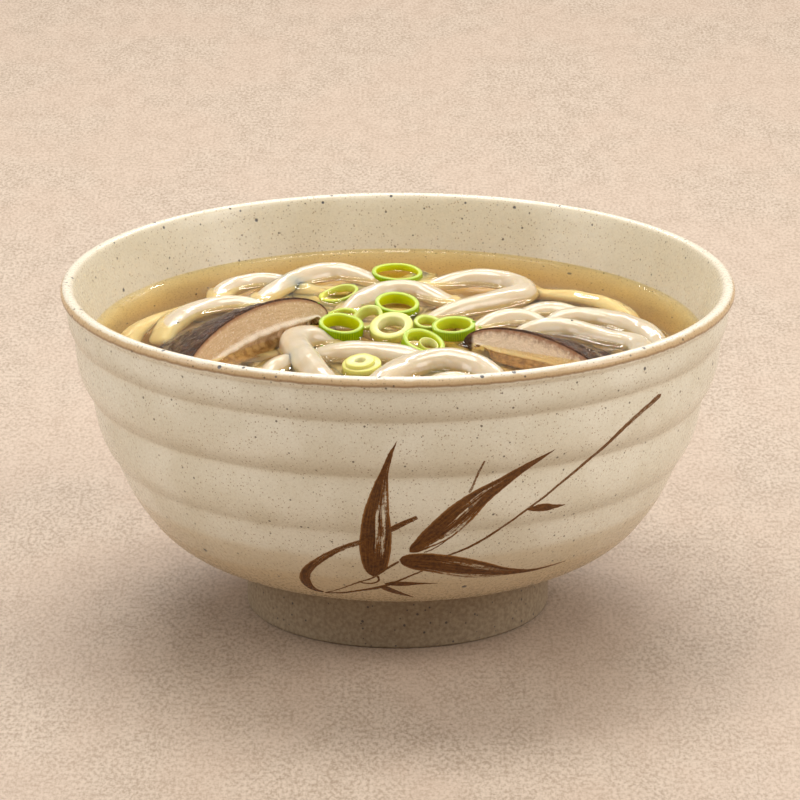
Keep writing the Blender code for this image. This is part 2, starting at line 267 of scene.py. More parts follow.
def bezier(p0, p1, p2, p3, count):
    """Points along a cubic curve from p0 to p3, both ends included."""
    points = []
    for i in range(count + 1):
        t = i / count
        s = 1 - t
        weights = (s ** 3, 3 * s * s * t, 3 * s * t * t, t ** 3)
        points.append(tuple(sum(w * p[k] for w, p in zip(weights, (p0, p1, p2, p3)))
                            for k in range(len(p0))))
    return points


def outer_wall(count, softening):
    """The outside from under the lip to the foot, each step swelling and then tucking in."""
    points = []
    for (r0, z0, tuck), (r1, z1, _) in zip(STEPS, STEPS[1:]):
        for i in range(count):
            u = i / count
            points.append((r0 - (r0 - r1) * ((1 - tuck) * u + tuck * u ** TUCK_POWER), z0 + (z1 - z0) * u))
    points += bezier(SHOULDER, *BELLY_PULLS, (FOOT_RADIUS + GLAZE_OVERHANG, FOOT_HEIGHT), count)
    for _ in range(softening):
        middle = [tuple((a[k] + 2 * b[k] + c[k]) / 4 for k in range(2))
                  for a, b, c in zip(points, points[1:], points[2:])]
        points = points[:1] + middle + points[-1:]
    return points


def radius_at(wall, height):
    """Radius of a wall given as points at a height."""
    for (r0, z0), (r1, z1) in zip(wall, wall[1:]):
        if z1 <= height <= z0:
            return r0 + (r1 - r0) * (z0 - height) / max(z0 - z1, 1e-9)
    return wall[-1][0]


def turned(profile, segments):
    """A body of revolution about Z from a profile whose two ends lie on the axis."""
    mesh = bmesh.new()
    verts = [mesh.verts.new((r, 0.0, z)) for r, z in profile]
    edges = [mesh.edges.new(pair) for pair in zip(verts, verts[1:])]
    bmesh.ops.spin(mesh, geom=verts + edges, axis=(0, 0, 1), cent=(0, 0, 0), angle=math.tau,
                   steps=segments, use_merge=True, use_duplicate=False)
    bmesh.ops.remove_doubles(mesh, verts=mesh.verts, dist=1e-6)
    bmesh.ops.recalc_face_normals(mesh, faces=mesh.faces)
    return mesh


def new_piece(name, mesh, finish, slot, *nodes):
    """Link a finished bmesh as a piece that rides on the one body and replaces CAD nodes."""
    data = bpy.data.meshes.new(name)
    mesh.to_mesh(data)
    mesh.free()
    data.shade_smooth()
    data.materials.append(finish.material)
    piece = bpy.data.objects.new(name, data)
    scene.collection.objects.link(piece)
    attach(piece, "root")
    if nodes:
        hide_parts(*nodes)
    return piece


OUTSIDE = outer_wall(STEP_CELLS, SOFTENING)
INSIDE = bezier((RIM_RADIUS - 3.6 * MM, BOWL_HEIGHT - 1.8 * MM), *INSIDE_PULLS, (0.0, BOWL_FLOOR),
                INSIDE_CELLS)
lip = []
for i in range(LIP_POINTS):
    angle = math.radians(LIP_START - LIP_TURN * i)
    lip.append((RIM_RADIUS - LIP_RADIUS + LIP_RADIUS * math.cos(angle),
                BOWL_HEIGHT - LIP_RADIUS + LIP_RADIUS * math.sin(angle)))
ring_inside = FOOT_RADIUS - FOOT_RING_WIDTH
foot = [(FOOT_RADIUS + 0.35 * MM, FOOT_HEIGHT - 0.25 * MM),
        (FOOT_RADIUS + 0.05 * MM, FOOT_HEIGHT - 0.5 * MM), (FOOT_RADIUS, FOOT_HEIGHT * 0.5)]
for centre_r, start in ((FOOT_RADIUS - FOOT_EDGE, 0), (ring_inside + FOOT_EDGE, -90)):
    for i in range(5):
        angle = math.radians(start - 22.5 * i)
        foot.append((centre_r + FOOT_EDGE * math.cos(angle), FOOT_EDGE + FOOT_EDGE * math.sin(angle)))
foot += [(ring_inside - 0.5 * MM, RECESS_HEIGHT - 1.2 * MM), (ring_inside - 1.4 * MM, RECESS_HEIGHT),
         (ring_inside * 0.5, RECESS_HEIGHT), (0.0, RECESS_HEIGHT)]
bowl_mesh = turned(list(reversed(INSIDE)) + lip + OUTSIDE + foot, BOWL_SEGMENTS)

GLAZE_CREAM = (0.80, 0.75, 0.60, 1)
GLAZE_PALE = (0.88, 0.84, 0.70, 1)
GLAZE_TAN = (0.50, 0.38, 0.235, 1)
GLAZE_LOW_SHADE = (0.62, 0.47, 0.275, 1)
GLAZE_HOLLOW_SHADE = (0.63, 0.50, 0.31, 1)
GLAZE_POOL_AND_SHADE = (0.52, 0.46, 0.335, 1)
LIP_PALE = (0.80, 0.71, 0.56, 1)
LIP_GOLD = (0.62, 0.42, 0.21, 1)
LIP_BROWN = (0.30, 0.17, 0.075, 1)
IRON_DUST = (0.30, 0.19, 0.10, 1)
IRON_SPECK = (0.10, 0.075, 0.05, 1)
IRON_SPOT = (0.045, 0.045, 0.055, 1)
CLAY_DARK = (0.28, 0.205, 0.13, 1)
CLAY_PALE = (0.40, 0.31, 0.20, 1)
# The hollow of the bowl is all that lies inside a cone of this radius on the floor and this slope
HOLLOW_RADIUS = 57.0 * MM
HOLLOW_SLOPE = 0.29
# Painted shade, with glaze that lies a little thicker, just above the crease under each step, where the wall
# tucks in and faces down: how far up it reaches, how strong it is
POOLS_AND_SHADES = [(6.0 * MM, 0.4), (6.0 * MM, 0.4), (5.0 * MM, 0.25)]
glaze = Finish("speckled_glaze", IOR=1.5)
height = glaze.axis("Z")
out = glaze.node("ShaderNodeVectorMath", {"operation": "LENGTH"},
                 glaze.node("ShaderNodeVectorMath", {"operation": "MULTIPLY"}, glaze.place, (1, 1, 0)),
                 output="Value")
cream = glaze.mix(glaze.clouds(0.014, detail=3).rise(0.35, 0.65), GLAZE_CREAM, GLAZE_PALE)
cream = glaze.mix(glaze.clouds(0.0005, detail=3, roughness=0.7).rise(0.5, 0.72) * 0.4, cream, GLAZE_TAN)
# Painted shade over the inside of the bowl: the glaze in the hollow is darkened and warmed towards tan
inner_side = (height * HOLLOW_SLOPE + HOLLOW_RADIUS - out).rise(-0.3 * MM, 0.3 * MM)
cream = glaze.mix(inner_side * 0.5, cream, GLAZE_HOLLOW_SHADE)
wavy = height + glaze.clouds(0.02, detail=2) * (1.2 * MM) - 0.6 * MM
# Darken the glaze just above each crease: painted shade under the tucked-in steps
for (_, crease, _), (reach, strength) in zip(STEPS[1:], POOLS_AND_SHADES):
    pool_and_shade = wavy.rise(crease - 0.1 * MM, crease + 0.5 * MM) * wavy.fall(crease + 0.4 * MM, crease + reach)
    cream = glaze.mix(pool_and_shade * (1 - inner_side) * strength, cream, GLAZE_POOL_AND_SHADE)
# The outside is darker towards the foot, and a band of painted shade darkens it below the shoulder at 27 mm,
# where the wall faces down
low_edge = height + glaze.clouds(0.03) * (3 * MM)
outside = out.rise(30 * MM, 40 * MM)
cream = glaze.mix(low_edge.fall(18 * MM, 42 * MM) * outside * 0.35, cream, GLAZE_LOW_SHADE)
cream = glaze.mix(low_edge.fall(27 * MM, 29 * MM) * outside * 0.5, cream, GLAZE_LOW_SHADE)
lip_edge = height + glaze.clouds(0.003, detail=3) * (0.7 * MM)
lip_front = out.rise(81.3 * MM, 81.8 * MM)
cream = glaze.mix(lip_edge.rise(82.3 * MM, 82.8 * MM) * 0.8, cream, LIP_PALE)
gold_band = lip_edge.rise(80.8 * MM, 81.2 * MM) * lip_edge.fall(82.2 * MM, 82.7 * MM) * lip_front
cream = glaze.mix(gold_band * 0.9, cream, LIP_GOLD)
brown_line = lip_edge.rise(80.6 * MM, 80.9 * MM) * lip_edge.fall(81.1 * MM, 81.6 * MM) * lip_front
cream = glaze.mix(brown_line * 0.75, cream, LIP_BROWN)
dust = glaze.dots(0.75 * MM, 0.25 * MM, 0.75)
specks = glaze.dots(2.5 * MM, 0.38 * MM, 0.55)
spots = glaze.dots(9.0 * MM, 0.85 * MM, 0.75)
lip_spots = glaze.dots(3.4 * MM, 0.7 * MM, 0.75) * height.rise(80.2 * MM, 80.8 * MM)
spots = spots.maths("MAXIMUM", lip_spots)
cream = glaze.mix(dust * 0.7, cream, IRON_DUST)
cream = glaze.mix(specks * 0.88, cream, IRON_SPECK)
cream = glaze.mix(spots * 0.9, cream, IRON_SPOT)
clay = glaze.mix(glaze.clouds(0.0009, detail=4).rise(0.3, 0.7), CLAY_DARK, CLAY_PALE)
clay = glaze.mix(glaze.dots(1.7 * MM, 0.4 * MM, 0.6) * 0.75, clay, IRON_SPOT)
bare_edge = height - glaze.clouds(0.02, detail=2) * (0.5 * MM)
bare = bare_edge.fall(FOOT_HEIGHT - 0.75 * MM, FOOT_HEIGHT - 0.55 * MM)
glaze.paint("Base Color", glaze.mix(bare, cream, clay))
glaze.paint("Roughness", bare * 0.55 + glaze.clouds(0.0008, detail=2) * 0.2 + 0.18)
glaze.bump(glaze.clouds(0.0035, detail=3) - specks * 0.3 - spots * 0.5, 0.00006)
new_piece("bowl_glazed", bowl_mesh, glaze, "speckled_glaze", "bowl")

# The brushed bamboo leaf: iron-brown strokes laid on the glaze with a half-dry brush, so that pale
# streaks run along each leaf. A leaf is given by its two edges from tip to base, a line by its middle
# and half width, all as x across the front and height in millimetres.
LEAVES = [
    # leaf edges, then its dry places: share along, share across, reach along, reach across, dryness
    ([(-0.1, 66.6), (-2.2, 63.1), (-4.1, 58.0), (-6.4, 52.2), (-8.1, 46.5), (-8.9, 39.9), (-9.0, 36.0),
      (-8.4, 31.8), (-7.3, 29.0), (-5.8, 27.7)],
     [(-0.1, 66.6), (-1.2, 62.6), (-2.1, 57.8), (-2.1, 52.7), (-1.9, 47.1), (-1.4, 41.4), (-1.5, 36.7),
      (-2.1, 32.2), (-3.2, 29.3), (-5.8, 27.7)],
     [(0.45, 0.55, 0.24, 0.34, 0.70), (0.60, 0.05, 0.24, 0.14, 0.78), (0.72, 0.45, 0.14, 0.2, 0.58)]),
    ([(37.0, 61.3), (30.9, 58.7), (24.3, 55.1), (17.6, 52.0), (11.8, 48.0), (6.8, 42.6), (4.3, 39.0),
      (2.9, 36.9), (2.8, 35.3)],
     [(37.0, 61.3), (32.2, 57.7), (26.8, 53.6), (21.4, 49.1), (17.2, 43.9), (12.7, 39.2), (8.0, 36.7),
      (4.5, 35.2), (2.8, 35.3)],
     [(0.58, 0.10, 0.14, 0.16, 0.72), (0.42, -0.30, 0.16, 0.2, 0.64), (0.74, 0.75, 0.18, 0.28, 0.76)]),
    ([(40.3, 26.3), (35.9, 26.1), (31.6, 26.3), (26.3, 28.1), (20.7, 31.0), (14.4, 33.4), (8.5, 34.7),
      (4.3, 34.9), (1.5, 34.3), (0.4, 33.1)],
     [(40.3, 26.2), (35.9, 25.6), (31.6, 25.4), (26.4, 25.7), (20.9, 25.9), (14.5, 26.9), (8.5, 28.9),
      (4.3, 29.9), (1.3, 31.4), (0.4, 33.1)],
     [(0.55, 0.85, 0.24, 0.24, 0.75), (0.5, -0.3, 0.26, 0.3, 0.6)]),
    ([(39.6, 45.0), (37.1, 45.6), (34.5, 46.5), (32.2, 46.2), (30.3, 45.4)],
     [(39.6, 44.9), (37.1, 44.4), (34.6, 44.2), (32.0, 44.7), (30.3, 45.4)],
     [(0.3, 0.0, 0.1, 0.3, 0.3)]),
    ([(9.6, 25.2), (5.6, 25.6), (1.8, 26.0), (-1.2, 26.1), (-3.1, 25.4)],
     [(9.6, 25.1), (5.6, 25.0), (1.8, 24.6), (-1.2, 24.7), (-3.1, 25.2)],
     [(0.5, 0, 0.1, 0.1, 0.1)]),
    ([(3.7, 20.1), (1.8, 21.6), (-0.8, 23.4), (-2.9, 24.5), (-4.5, 24.3)],
     [(3.7, 19.9), (1.8, 20.7), (-0.8, 21.7), (-2.9, 22.9), (-4.5, 24.2)],
     [(0.5, 0, 0.1, 0.1, 0.1)]),
]
LINES = [
    # points with half width, dryness at the start and at the end
    ([(4.6, 45.8, 0.5), (1.7, 44.2, 0.68), (-1.0, 42.5, 0.8), (-1.9, 41.9, 0.8)], 0.3, 0.2),
    ([(-8.3, 38.2, 0.7), (-10.0, 37.5, 0.7), (-11.9, 36.7, 0.65), (-15.1, 34.7, 0.75), (-18.5, 31.9, 0.9),
      (-21.1, 28.8, 1.15), (-22.1, 25.7, 1.3), (-21.4, 23.3, 1.1), (-19.8, 21.4, 0.7), (-17.6, 20.6, 0.3)],
     0.4, 0.1),
    ([(62.5, 68.5, 0.6), (54.4, 63.7, 0.5), (45.5, 56.3, 0.38), (38.2, 51.1, 0.28), (34.5, 48.3, 0.26),
      (30.3, 45.4, 0.28), (26.1, 42.1, 0.24), (22.8, 39.6, 0.28), (18.6, 36.9, 0.3), (14.4, 34.9, 0.26),
      (10.2, 33.4, 0.2)], 0.35, 0.3),
    ([(0.4, 32.6, 0.3), (-2.5, 30.4, 0.32), (-5.8, 27.3, 0.22), (-9.7, 25.3, 0.2), (-14.4, 22.2, 0.16),
      (-17.2, 20.4, 0.16)], 0.3, 0.3),
    ([(6.0, 29.6, 0.2), (3.4, 28.2, 0.25), (0.5, 26.5, 0.28), (-2.5, 24.8, 0.38), (-5.0, 23.8, 0.42),
      (-9.7, 22.3, 0.3), (-13.5, 21.0, 0.3), (-17.4, 20.4, 0.26)], 0.3, 0.1),
    ([(16.8, 51.8, 0.3), (18.0, 54.5, 0.24), (19.0, 57.3, 0.24), (20.3, 60.4, 0.2)], 0.5, 0.4),
    ([(-4.7, 27.9, 0.3), (-4.5, 26.3, 0.25), (-5.9, 25.4, 0.22), (-7.6, 25.3, 0.2), (-9.3, 25.8, 0.16)],
     0.2, 0.3),
    ([(14.1, 40.9, 0.14), (11.4, 38.3, 0.14), (8.5, 36.2, 0.14), (6.2, 35.1, 0.12)], 0.4, 0.3),
]
PAINT_LIFT = 0.04 * MM
PAINT_FILM = 0.09 * MM
LEAF_CELLS = (72, 16)
LINE_CELLS = (110, 4)
ROUND_END = 1.5
RAGGED = 0.12 * MM
RAGGED_FINENESS = 1400


def smooth_line(points, count):
    """Even points along a Catmull-Rom curve through vectors."""
    ends = [points[0] * 2 - points[1]] + points + [points[-1] * 2 - points[-2]]
    fine = []
    for a, b, c, d in zip(ends, ends[1:], ends[2:], ends[3:]):
        for i in range(16):
            t = i / 16
            fine.append(0.5 * (2 * b + (c - a) * t + (2 * a - 5 * b + 4 * c - d) * t * t
                               + (3 * b - a - 3 * c + d) * t ** 3))
    fine.append(points[-1])
    reach = [0.0]
    for p, q in zip(fine, fine[1:]):
        reach.append(reach[-1] + (q - p).length)
    line = []
    k = 0
    for i in range(count + 1):
        wanted = reach[-1] * i / count
        while k < len(fine) - 2 and reach[k + 1] < wanted:
            k += 1
        share = (wanted - reach[k]) / max(reach[k + 1] - reach[k], 1e-12)
        line.append(fine[k].lerp(fine[k + 1], min(max(share, 0.0), 1.0)))
    return line


def brush_strip(mesh, first, second, cells, number, dry_places):
    """A strip of paint between two edge lines, bent onto the bowl's outside."""
    made = bmesh.ops.create_grid(mesh, x_segments=cells[0], y_segments=cells[1], size=0.5, calc_uvs=False)
    for vert in made["verts"]:
        along = round((vert.co.x + 0.5) * cells[0])
        across = vert.co.y * 2
        spot = first[along].lerp(second[along], (across + 1) / 2)
        spread = Vector((spot.x * RAGGED_FINENESS, spot.y * RAGGED_FINENESS, number * 7.1))
        rough = noise.noise(spread) * RAGGED * abs(across) ** 3
        away = (second[along] - first[along]).normalized() * rough
        x = spot.x + away.x
        z = spot.y + away.y
        u = along / cells[0]
        dry = 0.0
        for u0, v0, u_reach, v_reach, amount in dry_places:
            dry = max(dry, amount * math.exp(-((u - u0) / u_reach) ** 2 - ((across - v0) / v_reach) ** 2))
        vert[stroke_layer] = (u + number, across, 0)
        vert[dry_layer] = dry
        radius = radius_at(OUTSIDE, z) + PAINT_LIFT
        vert.co = (x, -math.sqrt(max(radius * radius - x * x, 0)), z)
    return made["verts"]


paint_mesh = bmesh.new()
stroke_layer = paint_mesh.verts.layers.float_vector.new("stroke")
dry_layer = paint_mesh.verts.layers.float.new("dryness")
for number, (left, right, dry_places) in enumerate(LEAVES):
    edges = [smooth_line([Vector((x, z, 0)) * MM for x, z in side], LEAF_CELLS[0]) for side in (left, right)]
    brush_strip(paint_mesh, *edges, LEAF_CELLS, number, dry_places)
for number, (points, dry_start, dry_end) in enumerate(LINES, start=len(LEAVES)):
    middle = smooth_line([Vector(point) * MM for point in points], LINE_CELLS[0])
    sides = ([], [])
    for k, point in enumerate(middle):
        heading = middle[min(k + 1, LINE_CELLS[0])] - middle[max(k - 1, 0)]
        square = Vector((-heading.y, heading.x, 0)).normalized() * point.z
        end = min(k, LINE_CELLS[0] - k) / ROUND_END
        square *= math.sqrt(1 - (1 - min(end, 1.0)) ** 2)
        sides[0].append(Vector((point.x, point.y, 0)) + square)
        sides[1].append(Vector((point.x, point.y, 0)) - square)
    for vert in brush_strip(paint_mesh, *sides, LINE_CELLS, number, []):
        share = vert[stroke_layer].x - number
        vert[dry_layer] = dry_start + (dry_end - dry_start) * share
bmesh.ops.recalc_face_normals(paint_mesh, faces=paint_mesh.faces)
for face in paint_mesh.faces:
    if face.normal.y > 0:
        face.normal_flip()

PAINT_DEEP = (0.045, 0.013, 0.002, 1)
PAINT_MIDDLE = (0.21, 0.080, 0.014, 1)
PAINT_EDGE = (0.36, 0.165, 0.045, 1)
iron = Finish("iron_brown_paint", Roughness=0.25, IOR=1.35)
stroke = iron.attribute("stroke", "Vector")
edge = iron.axis("Y", stroke).maths("ABSOLUTE")
dry = iron.attribute("dryness", "Fac")
bristles = iron.clouds(1.0, detail=3, roughness=0.6, place=stroke, stretch=(4, 7, 1)).rise(0.38, 0.62)
scratches = iron.clouds(1.0, detail=2, place=stroke, stretch=(9, 15, 1)).rise(0.38, 0.62)
mottle = iron.clouds(0.0008, detail=3, roughness=0.7).rise(0.42, 0.6)
brown = iron.mix(mottle * 0.4 + scratches * 0.3 + bristles * 0.3, PAINT_MIDDLE, PAINT_DEEP)
brown = iron.mix(edge.rise(0.82, 0.98) * 0.7, brown, PAINT_EDGE)
thin = (dry * 1.2 - bristles * 0.4 - scratches * 0.3 + 0.25).rise(0.1, 0.7)
brown = iron.mix(thin * 0.8, brown, PAINT_EDGE)
cover = (bristles * 0.4 + scratches * 0.35 + mottle * 0.2 - dry * 1.25 + 0.4).rise(0.05, 0.35)
iron.paint("Base Color", brown)
iron.paint("Alpha", cover)
painting = new_piece("bamboo_leaf_painting", paint_mesh, iron, "speckled_glaze")
film = painting.modifiers.new("film", "SOLIDIFY")
film.thickness = PAINT_FILM
film.offset = -1

# The noodles: thick udon with softly squared sides, in loose loops that break the surface of the
# soup, over a bed of sunk ones and the dense middle of the heap.
SOUP_LEVEL = 68.3 * MM
NOODLES = [
    # width, then (x, y, height above the soup)
    (6.6, [(-45.5, 27, -5), (-44, 40, -1.7), (-37, 46.5, -1.1), (-28, 45.5, -1.7), (-18, 40, -6)]),
    (7.0, [(-38, 22, -6), (-34, 34, -2.8), (-27, 46, -0.8), (-17, 54, -0.2), (-8, 51, -2.0), (2, 42, -6)]),
    (6.8, [(-58, -4, -5), (-57, 6, -3), (-54, 16, -1.7), (-47, 25, -1.3), (-38, 28, -1.8), (-27, 24, -6)]),
    (5.6, [(-66, -9, -5), (-65, 5, -3.5), (-60, 16, -3.5), (-49, 33, -6)]),
    (7.4, [(-15, 16, -5), (-10, 28, -1.5), (-4, 36, -0.5), (4, 38, -0.7), (11, 33, -2.3), (19, 25, -6)]),
    (7.4, [(2, 43, -5), (12, 47.5, -2.3), (21, 48.5, -0.8), (29.3, 44, -0.6), (31.3, 35, -0.6),
           (25, 28, -0.5), (15, 21.5, -1.1), (5, 13, -4)]),
    (6.0, [(31, 42, -5), (43, 37, -3.2), (52, 30, -2.8), (57, 18, -3.2), (57, 7, -6)]),
    (6.6, [(26, 14, -5), (35, 21, -1.3), (43, 19, -1.3), (51, 12, -5)]),
    (7.0, [(34, 8, -5), (41, 13.5, -1.0), (50, 13, -0.7), (58, 6, -0.7), (63, -4, -1.4), (62, -15, -5)]),
    (7.0, [(26, 3, -5), (35, 5, -0.8), (43, 4, -0.6), (51, -3, -1.0), (58.5, -9, -0.7), (59, -20, -1.1),
           (56, -34, -5)]),
    (6.6, [(15, 2, -5), (24, 12, -0.9), (32, 14, -0.9), (41, 8, -5)]),
    (7.8, [(-12, -6, -5), (-16.5, -4, -3.2), (-21, -4, -0.2), (-25, -9, 0.4), (-23.5, -19, 0.2),
           (-19.5, -32, -0.6), (-14.5, -46, -2.4), (-8, -53, -5)]),
    (7.4, [(-23, -14, -4), (-14, -17, -0.5), (-4, -18, -0.1), (4, -22, -0.9), (11, -31, -5)]),
    (7.8, [(-9, -48, -4), (-3, -38, -0.8), (3, -29.5, 0.2), (11.5, -25.5, 0.3), (19, -29, -0.2),
           (23.5, -36, -2), (25, -44, -5)]),
    (6.6, [(3, -49, -4), (9, -40, -1.3), (16, -38, -1.3), (24, -46, -5)]),
    (6.4, [(-34, -37, -5), (-30, -28, -1.2), (-26.5, -22.5, -1.2), (-22, -26, -2.4), (-20, -35, -5)]),
    (7.0, [(-50, -33, -5), (-43, -42, -1.4), (-29, -53, -0.8), (-12, -60, -1.8), (3, -61, -5)]),
    (7.0, [(12, -53, -5), (23, -57, -0.9), (36, -51, -0.4), (46, -41, -0.9), (54, -30, -5)]),
    (7.0, [(-15, 13, -5), (-6, 6, -3.2), (2, -2, -3.2), (8, -10, -3.5), (13, -17, -6)]),
]
NOODLE_SIDES = 20
NOODLE_STEP = 1.2 * MM
SQUARENESS = 2.6
TWIST = 0.03
LUMPS = 0.08
FINE_LUMPS = 0.035
CORNER_SLACK = 0.96
END_CELLS = 3
SUNK_COUNT = 30
SUNK_SEED = 11
SUNK_DEPTHS = (-12.0, -7.5)
SUNK_WIDTHS = (6.2, 7.4)
SUNK_SPREAD = 60 * MM
SUNK_REACH = 63 * MM
SUNK_POINTS = 7
SUNK_STEP = 11
SUNK_CELLS = 40
HEAP_TOP = 57.0 * MM
HEAP_GAP = 3.5 * MM
HEAP_LEVELS = (24, 32, 40, 48, 54)


def udon(heap, width, line, seed):
    """Add one noodle along a line: a soft-cornered section swept along it, a little uneven."""
    mesh = bmesh.new()
    made = bmesh.ops.create_circle(mesh, cap_ends=True, segments=NOODLE_SIDES, radius=1.0)
    ring = made["verts"]
    angles = [math.atan2(v.co.y, v.co.x) for v in ring]
    count = len(line) - 1
    side = Vector((0, 0, 1)).cross(line[1] - line[0]).normalized()
    for k, point in enumerate(line):
        forward = (line[min(k + 1, count)] - line[max(k - 1, 0)]).normalized()
        side = (side - forward * side.dot(forward)).normalized()
        up = forward.cross(side)
        end = min(k, count - k) / END_CELLS
        taper = math.sqrt(max(1 - (1 - min(end, 1)) ** 2, 0.02))
        turn = seed * 1.3 + k * TWIST
        if k:
            edges = list({e for v in ring for e in v.link_edges if e.other_vert(v) in ring})
            made = bmesh.ops.extrude_edge_only(mesh, edges=edges)
            fresh = set(made["geom"])
            ring = [next(e.other_vert(old) for e in old.link_edges if e.other_vert(old) in fresh)
                    for old in ring]
        for vert, angle in zip(ring, angles):
            corner = (abs(math.cos(angle - turn)) ** SQUARENESS
                      + abs(math.sin(angle - turn)) ** SQUARENESS) ** (-1 / SQUARENESS)
            spot = Vector((math.cos(angle) * 0.6, math.sin(angle) * 0.6, k * 0.13 + seed * 5.3))
            lump = 1 + LUMPS * noise.noise(spot) + FINE_LUMPS * noise.noise(spot * 3.1)
            reach = width * MM / 2 * corner * lump * taper * CORNER_SLACK
            vert.co = point + side * (math.cos(angle) * reach) + up * (math.sin(angle) * reach)
    bmesh.ops.contextual_create(mesh, geom=list({e for v in ring for e in v.link_edges
                                                 if e.other_vert(v) in ring}))
    data = bpy.data.meshes.new("noodle")
    mesh.to_mesh(data)
    mesh.free()
    heap.from_mesh(data)


noodle_mesh = bmesh.new()
for seed, (width, places) in enumerate(NOODLES):
    points = [Vector((x * MM, y * MM, SOUP_LEVEL + z * MM)) for x, y, z in places]
    length = sum((q - p).length for p, q in zip(points, points[1:]))
    udon(noodle_mesh, width, smooth_line(points, round(length / NOODLE_STEP)), seed)
draw = random.Random(SUNK_SEED)
for seed in range(SUNK_COUNT):
    turn = draw.uniform(0, math.tau)
    out = SUNK_SPREAD * math.sqrt(draw.uniform(0.02, 1.0))
    heading = draw.uniform(0, math.tau)
    bend = draw.choice((-1, 1)) * draw.uniform(0.25, 0.6)
    level = SOUP_LEVEL + draw.uniform(*SUNK_DEPTHS) * MM
    place = Vector((out * math.cos(turn), out * math.sin(turn), level))
    points = []
    for _ in range(SUNK_POINTS):
        points.append(place.copy())
        heading += bend
        step = Vector((math.cos(heading), math.sin(heading), draw.uniform(-0.12, 0.12))) * SUNK_STEP * MM
        if (place + step).xy.length > SUNK_REACH:
            heading = math.atan2(-place.y, -place.x) + draw.uniform(-0.9, 0.9)
            step = Vector((math.cos(heading), math.sin(heading), 0)) * SUNK_STEP * MM
        place = place + step
    udon(noodle_mesh, draw.uniform(*SUNK_WIDTHS), smooth_line(points, SUNK_CELLS), 40 + seed)
heap_profile = [(0.0, BOWL_FLOOR + 0.3 * MM), (30 * MM, BOWL_FLOOR + 2.5 * MM)]
heap_profile += [(radius_at(INSIDE, z * MM) - HEAP_GAP, z * MM) for z in HEAP_LEVELS]
heap_profile += [(62 * MM, HEAP_TOP), (0.0, HEAP_TOP)]
heap_mesh = turned(heap_profile, 64)
heap_data = bpy.data.meshes.new("heap")
heap_mesh.to_mesh(heap_data)
heap_mesh.free()
noodle_mesh.from_mesh(heap_data)
bmesh.ops.recalc_face_normals(noodle_mesh, faces=noodle_mesh.faces)

UDON_CREAM = (0.585, 0.485, 0.34, 1)
UDON_PALE = (0.635, 0.545, 0.405, 1)
dough = Finish("wet_udon", Roughness=0.16, IOR=1.42, Subsurface_Weight=1.0,
               Subsurface_Radius=(1.0, 0.8, 0.55), Subsurface_Scale=0.006, Coat_Weight=0.35,
               Coat_Roughness=0.03)
dough.paint("Base Color", dough.mix(dough.clouds(0.006, detail=2).rise(0.3, 0.7), UDON_CREAM, UDON_PALE))
dough.bump(dough.clouds(0.0024, detail=2), 0.00014)
new_piece("udon_noodles", noodle_mesh, dough, "udon", "noodles")

# The shiitake: two thick halves of simmered caps. Dark wrinkled skin over pale fibrous flesh that
# browns under the skin, brown gills below a ragged seam, and a lip that curls in. Each is cut flat.
CAPS = [
    # name, CAD node, radius, dome, place, turn, rise, lean, gill depth, how far the brown reaches in
    ("shiitake_half_left", "shiitake_left", 26.5, 9.6, (-34.2, -11.0, 68.7), 50, 6, 16, 5.6, 0.10),
    ("shiitake_half_right", "shiitake_right", 21.6, 7.6, (34.3, -18.9, 66.1), -32, -9, 14, 8.0, 0.24),
]
CAP_STEPS = 132
CUT_COLUMNS = 72
CUT_ROWS = 26
# How far down the cut the gills begin, in parts of its depth, and doubles merged below this many mm
SEAM = 0.5
DOUBLES = 2e-3
# The curled lip of the right half, in the scene's x, where dark skin shows on the cut
CURL_START = 8 * MM
CURL_END = 17.8 * MM
# How deep the skin, the gills and the cut face are worked, in millimetres
SKIN_SWELL = 0.35
SKIN_GRAIN = 0.16
SKIN_CREASE = 0.3
GILL_BLADE = 0.35
GILL_SWELL = 0.2
CUT_GRAIN = 0.12
SEAM_LIFT = 0.6
SEAM_WIDTH = 0.05


def cap_outlines(radius, dome, depth, columns):
    """Skin side and gill side of half a cap's section, from its axis to the tip of the curled lip."""
    tip = (radius - 3.8, -1.4)
    skin_side = []
    for degrees in range(90, -1, -3):
        angle = math.radians(degrees)
        skin_side.append((radius * math.cos(angle), dome * math.sin(angle) ** 1.15))
    skin_side += bezier((radius, 0), (radius + 0.3, -2.8), (radius - 2.6, -4.4), tip, 12)[1:]
    gill_side = bezier((0, -depth), (radius * 0.4, -depth), (radius - 9, -depth), (radius - 8, -1.6), 24)
    gill_side += bezier((radius - 8, -1.6), (radius - 7.2, 1.4), (radius - 4.6, 1.6), tip, 12)[1:]
    return [smooth_line([Vector((r, 0, z)) for r, z in side], columns) for side in (skin_side, gill_side)]


SKIN_BLACK = (0.035, 0.013, 0.005, 1)
SKIN_BROWN = (0.15, 0.065, 0.028, 1)
FLESH_TAN = (0.58, 0.375, 0.20, 1)
FLESH_PALE = (0.74, 0.53, 0.32, 1)
FLESH_BROWN = (0.30, 0.15, 0.08, 1)
FLESH_PINK_LIT = (0.96, 0.79, 0.62, 1)
UNDER_SKIN = (0.32, 0.11, 0.035, 1)
PALE_SEAM_AND_GLINT = (0.93, 0.78, 0.60, 1)
GILL_BROWN = (0.42, 0.235, 0.115, 1)
GILL_TAN = (0.72, 0.50, 0.29, 1)
shiitake = Finish("shiitake", IOR=1.36, Subsurface_Weight=0.12, Subsurface_Radius=(1.0, 0.5, 0.3),
                  Subsurface_Scale=0.001)
skin_zone, browning, gill_zone = shiitake.channels(shiitake.attribute("zone"))
chart = shiitake.attribute("chart", "Vector")
across = shiitake.axis("Y", chart)
fibres = shiitake.clouds(1.0, detail=3, roughness=0.65, place=chart, stretch=(9, 40, 9))
